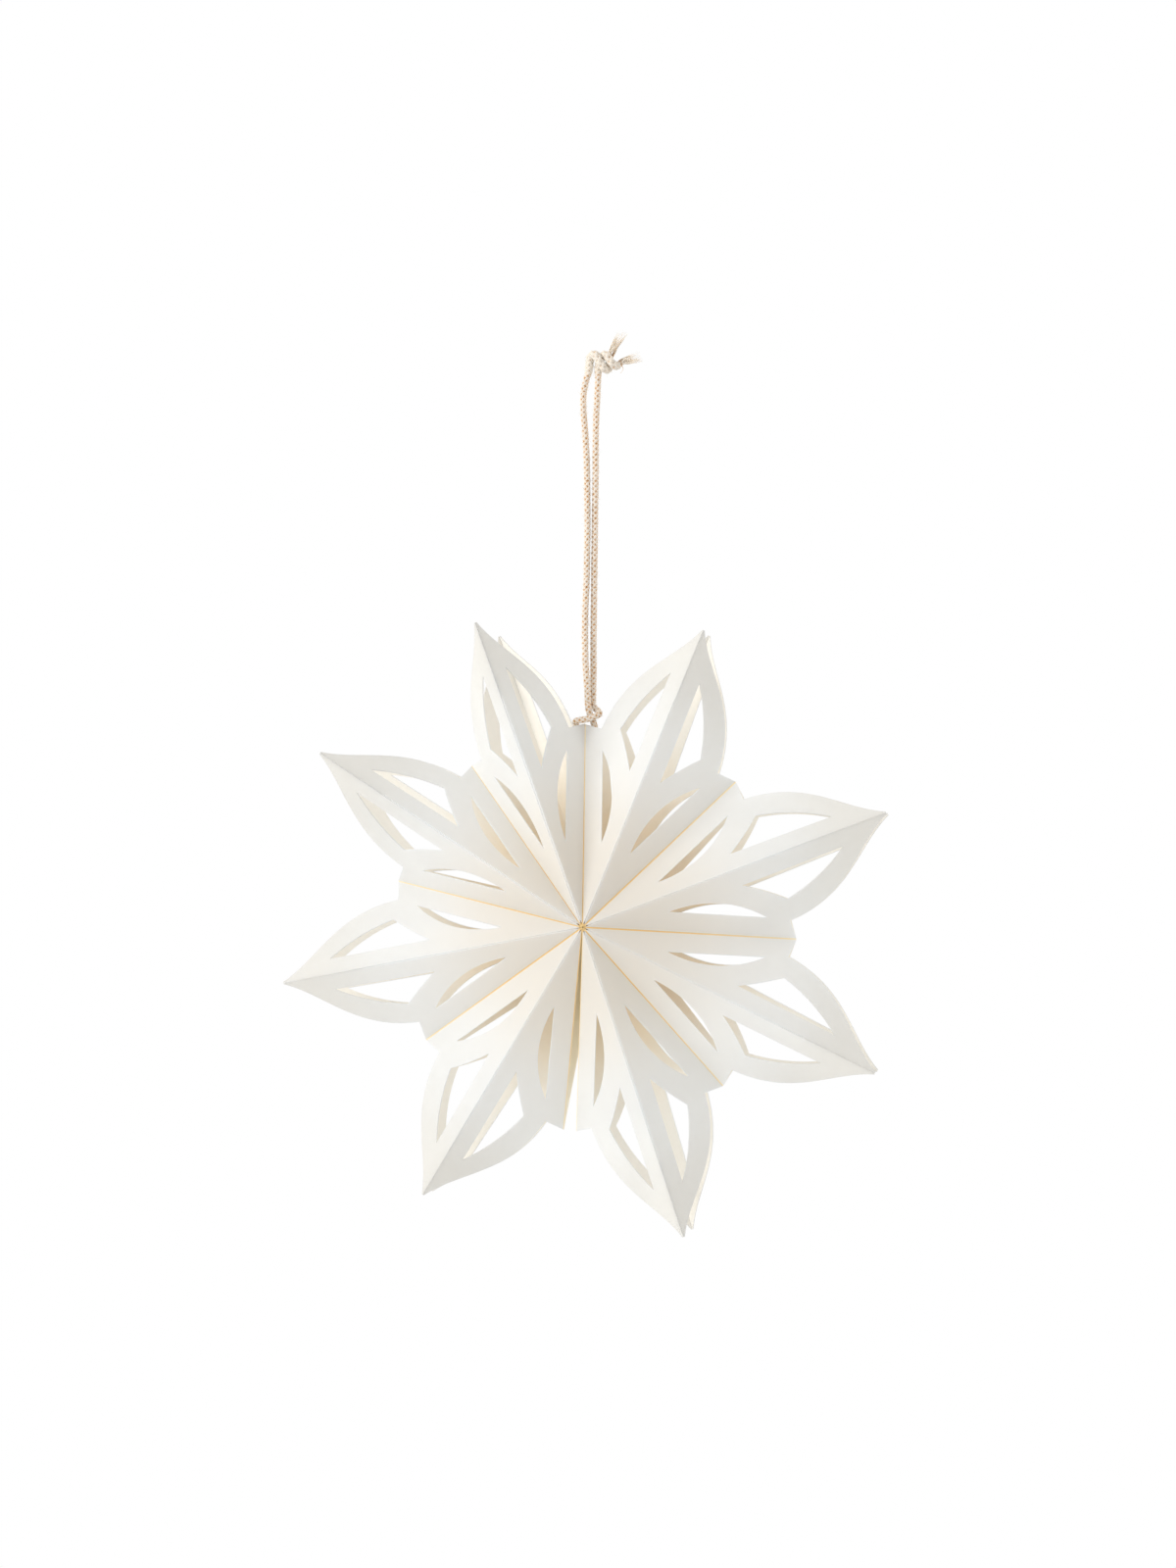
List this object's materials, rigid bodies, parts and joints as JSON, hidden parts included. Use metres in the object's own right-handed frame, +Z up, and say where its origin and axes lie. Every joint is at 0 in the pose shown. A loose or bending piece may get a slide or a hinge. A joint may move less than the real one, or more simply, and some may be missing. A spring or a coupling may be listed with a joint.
{
  "type": "hanging paper star",
  "caption": "Fold-out paper star of cut-out petals glued into a fan, drawn into a ring, closed by hidden dots and hung on a knotted loop of cord.",
  "frame": {"origin": "hanging point at the top of the cord loop, just under its knot", "axes": "+Z up along the cord; the star's axis lies along Y and its front faces -Y; +X to the right seen from the front"},
  "size_m": [0.21, 0.0496, 0.313],
  "materials": {
    "card": "matte off-white card",
    "inner": "matte off-white card, glued in pairs",
    "cord": "natural braided cord",
    "dot": "hook-and-loop dot"
  },
  "bodies": {
    "cord": {"cord_left": "cord", "cord_right": "cord"},
    "top_seam": {"cord_hitch": "cord", "petal_4_wall_right": "inner", "petal_5_wall_left": "inner"},
    "seam_5_6": {"petal_5_wall_right": "inner", "petal_6_wall_left": "inner"},
    "seam_6_7": {"petal_6_wall_right": "inner", "petal_7_wall_left": "inner"},
    "seam_7_8": {"petal_7_wall_right": "inner", "petal_8_wall_left": "inner"},
    "end_right": {"petal_8_wall_right": "inner", "closing_dot_right": "dot"},
    "seam_3_4": {"petal_3_wall_right": "inner", "petal_4_wall_left": "inner"},
    "seam_2_3": {"petal_2_wall_right": "inner", "petal_3_wall_left": "inner"},
    "seam_1_2": {"petal_1_wall_right": "inner", "petal_2_wall_left": "inner"},
    "end_left": {"petal_1_wall_left": "inner", "closing_dot_left": "dot"},
    "petal_1_front_left": {"petal_1_front_left": "card"},
    "petal_1_front_right": {"petal_1_front_right": "card"},
    "petal_1_back_left": {"petal_1_back_left": "card"},
    "petal_1_back_right": {"petal_1_back_right": "card"},
    "petal_2_front_left": {"petal_2_front_left": "card"},
    "petal_2_front_right": {"petal_2_front_right": "card"},
    "petal_2_back_left": {"petal_2_back_left": "card"},
    "petal_2_back_right": {"petal_2_back_right": "card"},
    "petal_3_front_left": {"petal_3_front_left": "card"},
    "petal_3_front_right": {"petal_3_front_right": "card"},
    "petal_3_back_left": {"petal_3_back_left": "card"},
    "petal_3_back_right": {"petal_3_back_right": "card"},
    "petal_4_front_left": {"petal_4_front_left": "card"},
    "petal_4_front_right": {"petal_4_front_right": "card"},
    "petal_4_back_left": {"petal_4_back_left": "card"},
    "petal_4_back_right": {"petal_4_back_right": "card"},
    "petal_5_front_left": {"petal_5_front_left": "card"},
    "petal_5_front_right": {"petal_5_front_right": "card"},
    "petal_5_back_left": {"petal_5_back_left": "card"},
    "petal_5_back_right": {"petal_5_back_right": "card"},
    "petal_6_front_left": {"petal_6_front_left": "card"},
    "petal_6_front_right": {"petal_6_front_right": "card"},
    "petal_6_back_left": {"petal_6_back_left": "card"},
    "petal_6_back_right": {"petal_6_back_right": "card"},
    "petal_7_front_left": {"petal_7_front_left": "card"},
    "petal_7_front_right": {"petal_7_front_right": "card"},
    "petal_7_back_left": {"petal_7_back_left": "card"},
    "petal_7_back_right": {"petal_7_back_right": "card"},
    "petal_8_front_left": {"petal_8_front_left": "card"},
    "petal_8_front_right": {"petal_8_front_right": "card"},
    "petal_8_back_left": {"petal_8_back_left": "card"},
    "petal_8_back_right": {"petal_8_back_right": "card"}
  },
  "joints": [
    {"name": "turn", "type": "hinge", "parent": "cord", "child": "top_seam", "pos_m": [-0.00155, 0.0002, -0.11375], "axis": [0, 0, 1], "range_deg": [-90, 90]},
    {"name": "fold_5", "type": "hinge", "parent": "top_seam", "child": "seam_5_6", "pos_m": [-0.00023, 0, -0.19162], "axis": [0, -1, 0], "range_deg": [0, 33.5]},
    {"name": "fold_6", "type": "hinge", "parent": "seam_5_6", "child": "seam_6_7", "pos_m": [0.00031, 0, -0.19221], "axis": [0, -1, 0], "range_deg": [0, 32.77]},
    {"name": "fold_7", "type": "hinge", "parent": "seam_6_7", "child": "seam_7_8", "pos_m": [0.0003, 0, -0.19301], "axis": [0, -1, 0], "range_deg": [0, 33.52]},
    {"name": "fold_8", "type": "hinge", "parent": "seam_7_8", "child": "end_right", "pos_m": [-0.00028, 0, -0.19356], "axis": [0, -1, 0], "range_deg": [0, 33.77]},
    {"name": "fold_4", "type": "hinge", "parent": "top_seam", "child": "seam_3_4", "pos_m": [-0.00105, 0, -0.19131], "axis": [0, 1, 0], "range_deg": [0, 30.27]},
    {"name": "fold_3", "type": "hinge", "parent": "seam_3_4", "child": "seam_2_3", "pos_m": [-0.00159, 0, -0.19191], "axis": [0, 1, 0], "range_deg": [0, 32.52]},
    {"name": "fold_2", "type": "hinge", "parent": "seam_2_3", "child": "seam_1_2", "pos_m": [-0.00159, 0, -0.19273], "axis": [0, 1, 0], "range_deg": [0, 33.52]},
    {"name": "fold_1", "type": "hinge", "parent": "seam_1_2", "child": "end_left", "pos_m": [-0.00112, 0, -0.19339], "axis": [0, 1, 0], "range_deg": [0, 33.02]},
    {"name": "crease_1_front_left", "type": "hinge", "parent": "end_left", "child": "petal_1_front_left", "pos_m": [-0.00112, -0.0245, -0.19339], "axis": [0.1362, -0.332, 0.9334], "range_deg": [0, 67.01]},
    {"name": "crease_1_front_right", "type": "hinge", "parent": "seam_1_2", "child": "petal_1_front_right", "pos_m": [-0.00112, -0.0245, -0.19339], "axis": [-0.7848, 0.332, -0.5234], "range_deg": [0, 67.01]},
    {"name": "crease_1_back_left", "type": "hinge", "parent": "end_left", "child": "petal_1_back_left", "pos_m": [-0.00112, 0.0245, -0.19339], "axis": [-0.1362, -0.332, -0.9334], "range_deg": [0, 67.01]},
    {"name": "crease_1_back_right", "type": "hinge", "parent": "seam_1_2", "child": "petal_1_back_right", "pos_m": [-0.00112, 0.0245, -0.19339], "axis": [0.7848, 0.332, 0.5234], "range_deg": [0, 67.01]},
    {"name": "crease_2_front_left", "type": "hinge", "parent": "seam_1_2", "child": "petal_2_front_left", "pos_m": [-0.00159, -0.0245, -0.19273], "axis": [0.7848, -0.332, 0.5234], "range_deg": [0, 64.56]},
    {"name": "crease_2_front_right", "type": "hinge", "parent": "seam_2_3", "child": "petal_2_front_right", "pos_m": [-0.00159, -0.0245, -0.19273], "axis": [-0.918, 0.332, 0.217], "range_deg": [0, 64.56]},
    {"name": "crease_2_back_left", "type": "hinge", "parent": "seam_1_2", "child": "petal_2_back_left", "pos_m": [-0.00159, 0.0245, -0.19273], "axis": [-0.7848, -0.332, -0.5234], "range_deg": [0, 64.56]},
    {"name": "crease_2_back_right", "type": "hinge", "parent": "seam_2_3", "child": "petal_2_back_right", "pos_m": [-0.00159, 0.0245, -0.19273], "axis": [0.918, 0.332, -0.217], "range_deg": [0, 64.56]},
    {"name": "crease_3_front_left", "type": "hinge", "parent": "seam_2_3", "child": "petal_3_front_left", "pos_m": [-0.00159, -0.0245, -0.19191], "axis": [0.918, -0.332, -0.217], "range_deg": [0, 49.65]},
    {"name": "crease_3_front_right", "type": "hinge", "parent": "seam_3_4", "child": "petal_3_front_right", "pos_m": [-0.00159, -0.0245, -0.19191], "axis": [-0.5703, 0.332, 0.7514], "range_deg": [0, 49.65]},
    {"name": "crease_3_back_left", "type": "hinge", "parent": "seam_2_3", "child": "petal_3_back_left", "pos_m": [-0.00159, 0.0245, -0.19191], "axis": [-0.918, -0.332, 0.217], "range_deg": [0, 49.65]},
    {"name": "crease_3_back_right", "type": "hinge", "parent": "seam_3_4", "child": "petal_3_back_right", "pos_m": [-0.00159, 0.0245, -0.19191], "axis": [0.5703, 0.332, -0.7514], "range_deg": [0, 49.65]},
    {"name": "crease_4_front_left", "type": "hinge", "parent": "seam_3_4", "child": "petal_4_front_left", "pos_m": [-0.00105, -0.0245, -0.19131], "axis": [0.5703, -0.332, -0.7514], "range_deg": [0, 42.32]},
    {"name": "crease_4_front_right", "type": "hinge", "parent": "top_seam", "child": "petal_4_front_right", "pos_m": [-0.00105, -0.0245, -0.19131], "axis": [-0.0362, 0.332, 0.9426], "range_deg": [0, 42.32]},
    {"name": "crease_4_back_left", "type": "hinge", "parent": "seam_3_4", "child": "petal_4_back_left", "pos_m": [-0.00105, 0.0245, -0.19131], "axis": [-0.5703, -0.332, 0.7514], "range_deg": [0, 42.32]},
    {"name": "crease_4_back_right", "type": "hinge", "parent": "top_seam", "child": "petal_4_back_right", "pos_m": [-0.00105, 0.0245, -0.19131], "axis": [0.0362, 0.332, -0.9426], "range_deg": [0, 42.32]},
    {"name": "crease_5_front_left", "type": "hinge", "parent": "top_seam", "child": "petal_5_front_left", "pos_m": [-0.00023, -0.0245, -0.19162], "axis": [0.0362, -0.332, -0.9426], "range_deg": [0, 64.56]},
    {"name": "crease_5_front_right", "type": "hinge", "parent": "seam_5_6", "child": "petal_5_front_right", "pos_m": [-0.00023, -0.0245, -0.19162], "axis": [0.6647, 0.332, 0.6693], "range_deg": [0, 64.56]},
    {"name": "crease_5_back_left", "type": "hinge", "parent": "top_seam", "child": "petal_5_back_left", "pos_m": [-0.00023, 0.0245, -0.19162], "axis": [-0.0362, -0.332, 0.9426], "range_deg": [0, 64.56]},
    {"name": "crease_5_back_right", "type": "hinge", "parent": "seam_5_6", "child": "petal_5_back_right", "pos_m": [-0.00023, 0.0245, -0.19162], "axis": [-0.6647, 0.332, -0.6693], "range_deg": [0, 64.56]},
    {"name": "crease_6_front_left", "type": "hinge", "parent": "seam_5_6", "child": "petal_6_front_left", "pos_m": [0.00031, -0.0245, -0.19221], "axis": [-0.6647, -0.332, -0.6693], "range_deg": [0, 68.3]},
    {"name": "crease_6_front_right", "type": "hinge", "parent": "seam_6_7", "child": "petal_6_front_right", "pos_m": [0.00031, -0.0245, -0.19221], "axis": [0.9417, 0.332, -0.0543], "range_deg": [0, 68.3]},
    {"name": "crease_6_back_left", "type": "hinge", "parent": "seam_5_6", "child": "petal_6_back_left", "pos_m": [0.00031, 0.0245, -0.19221], "axis": [0.6647, -0.332, 0.6693], "range_deg": [0, 68.3]},
    {"name": "crease_6_back_right", "type": "hinge", "parent": "seam_6_7", "child": "petal_6_back_right", "pos_m": [0.00031, 0.0245, -0.19221], "axis": [-0.9417, 0.332, 0.0543], "range_deg": [0, 68.3]},
    {"name": "crease_7_front_left", "type": "hinge", "parent": "seam_6_7", "child": "petal_7_front_left", "pos_m": [0.0003, -0.0245, -0.19301], "axis": [-0.9417, -0.332, 0.0543], "range_deg": [0, 64.56]},
    {"name": "crease_7_front_right", "type": "hinge", "parent": "seam_7_8", "child": "petal_7_front_right", "pos_m": [0.0003, -0.0245, -0.19301], "axis": [0.6025, 0.332, -0.7258], "range_deg": [0, 64.56]},
    {"name": "crease_7_back_left", "type": "hinge", "parent": "seam_6_7", "child": "petal_7_back_left", "pos_m": [0.0003, 0.0245, -0.19301], "axis": [0.9417, -0.332, -0.0543], "range_deg": [0, 64.56]},
    {"name": "crease_7_back_right", "type": "hinge", "parent": "seam_7_8", "child": "petal_7_back_right", "pos_m": [0.0003, 0.0245, -0.19301], "axis": [-0.6025, 0.332, 0.7258], "range_deg": [0, 64.56]},
    {"name": "crease_8_front_left", "type": "hinge", "parent": "seam_7_8", "child": "petal_8_front_left", "pos_m": [-0.00028, -0.0245, -0.19356], "axis": [-0.6025, -0.332, 0.7258], "range_deg": [0, 59.05]},
    {"name": "crease_8_front_right", "type": "hinge", "parent": "end_right", "child": "petal_8_front_right", "pos_m": [-0.00028, -0.0245, -0.19356], "axis": [-0.0789, 0.332, -0.94], "range_deg": [0, 59.05]},
    {"name": "crease_8_back_left", "type": "hinge", "parent": "seam_7_8", "child": "petal_8_back_left", "pos_m": [-0.00028, 0.0245, -0.19356], "axis": [0.6025, -0.332, -0.7258], "range_deg": [0, 59.05]},
    {"name": "crease_8_back_right", "type": "hinge", "parent": "end_right", "child": "petal_8_back_right", "pos_m": [-0.00028, 0.0245, -0.19356], "axis": [0.0789, 0.332, 0.94], "range_deg": [0, 59.05]}
  ],
  "couplings": [
    {"joint": "fold_6", "follows": "fold_5", "ratio": 0.97761},
    {"joint": "fold_7", "follows": "fold_5", "ratio": 1},
    {"joint": "fold_8", "follows": "fold_5", "ratio": 1.0075},
    {"joint": "fold_4", "follows": "fold_5", "ratio": 0.90299},
    {"joint": "fold_3", "follows": "fold_5", "ratio": 0.97015},
    {"joint": "fold_2", "follows": "fold_5", "ratio": 1},
    {"joint": "fold_1", "follows": "fold_5", "ratio": 0.98507},
    {"joint": "crease_1_front_left", "follows": "fold_5", "ratio": 1.9996},
    {"joint": "crease_1_front_right", "follows": "fold_5", "ratio": 1.9996},
    {"joint": "crease_1_back_left", "follows": "fold_5", "ratio": 1.9996},
    {"joint": "crease_1_back_right", "follows": "fold_5", "ratio": 1.9996},
    {"joint": "crease_2_front_left", "follows": "fold_5", "ratio": 1.9267},
    {"joint": "crease_2_front_right", "follows": "fold_5", "ratio": 1.9267},
    {"joint": "crease_2_back_left", "follows": "fold_5", "ratio": 1.9267},
    {"joint": "crease_2_back_right", "follows": "fold_5", "ratio": 1.9267},
    {"joint": "crease_3_front_left", "follows": "fold_5", "ratio": 1.4815},
    {"joint": "crease_3_front_right", "follows": "fold_5", "ratio": 1.4815},
    {"joint": "crease_3_back_left", "follows": "fold_5", "ratio": 1.4815},
    {"joint": "crease_3_back_right", "follows": "fold_5", "ratio": 1.4815},
    {"joint": "crease_4_front_left", "follows": "fold_5", "ratio": 1.2628},
    {"joint": "crease_4_front_right", "follows": "fold_5", "ratio": 1.2628},
    {"joint": "crease_4_back_left", "follows": "fold_5", "ratio": 1.2628},
    {"joint": "crease_4_back_right", "follows": "fold_5", "ratio": 1.2628},
    {"joint": "crease_5_front_left", "follows": "fold_5", "ratio": 1.9267},
    {"joint": "crease_5_front_right", "follows": "fold_5", "ratio": 1.9267},
    {"joint": "crease_5_back_left", "follows": "fold_5", "ratio": 1.9267},
    {"joint": "crease_5_back_right", "follows": "fold_5", "ratio": 1.9267},
    {"joint": "crease_6_front_left", "follows": "fold_5", "ratio": 2.0381},
    {"joint": "crease_6_front_right", "follows": "fold_5", "ratio": 2.0381},
    {"joint": "crease_6_back_left", "follows": "fold_5", "ratio": 2.0381},
    {"joint": "crease_6_back_right", "follows": "fold_5", "ratio": 2.0381},
    {"joint": "crease_7_front_left", "follows": "fold_5", "ratio": 1.9267},
    {"joint": "crease_7_front_right", "follows": "fold_5", "ratio": 1.9267},
    {"joint": "crease_7_back_left", "follows": "fold_5", "ratio": 1.9267},
    {"joint": "crease_7_back_right", "follows": "fold_5", "ratio": 1.9267},
    {"joint": "crease_8_front_left", "follows": "fold_5", "ratio": 1.762},
    {"joint": "crease_8_front_right", "follows": "fold_5", "ratio": 1.762},
    {"joint": "crease_8_back_left", "follows": "fold_5", "ratio": 1.762},
    {"joint": "crease_8_back_right", "follows": "fold_5", "ratio": 1.762}
  ]
}
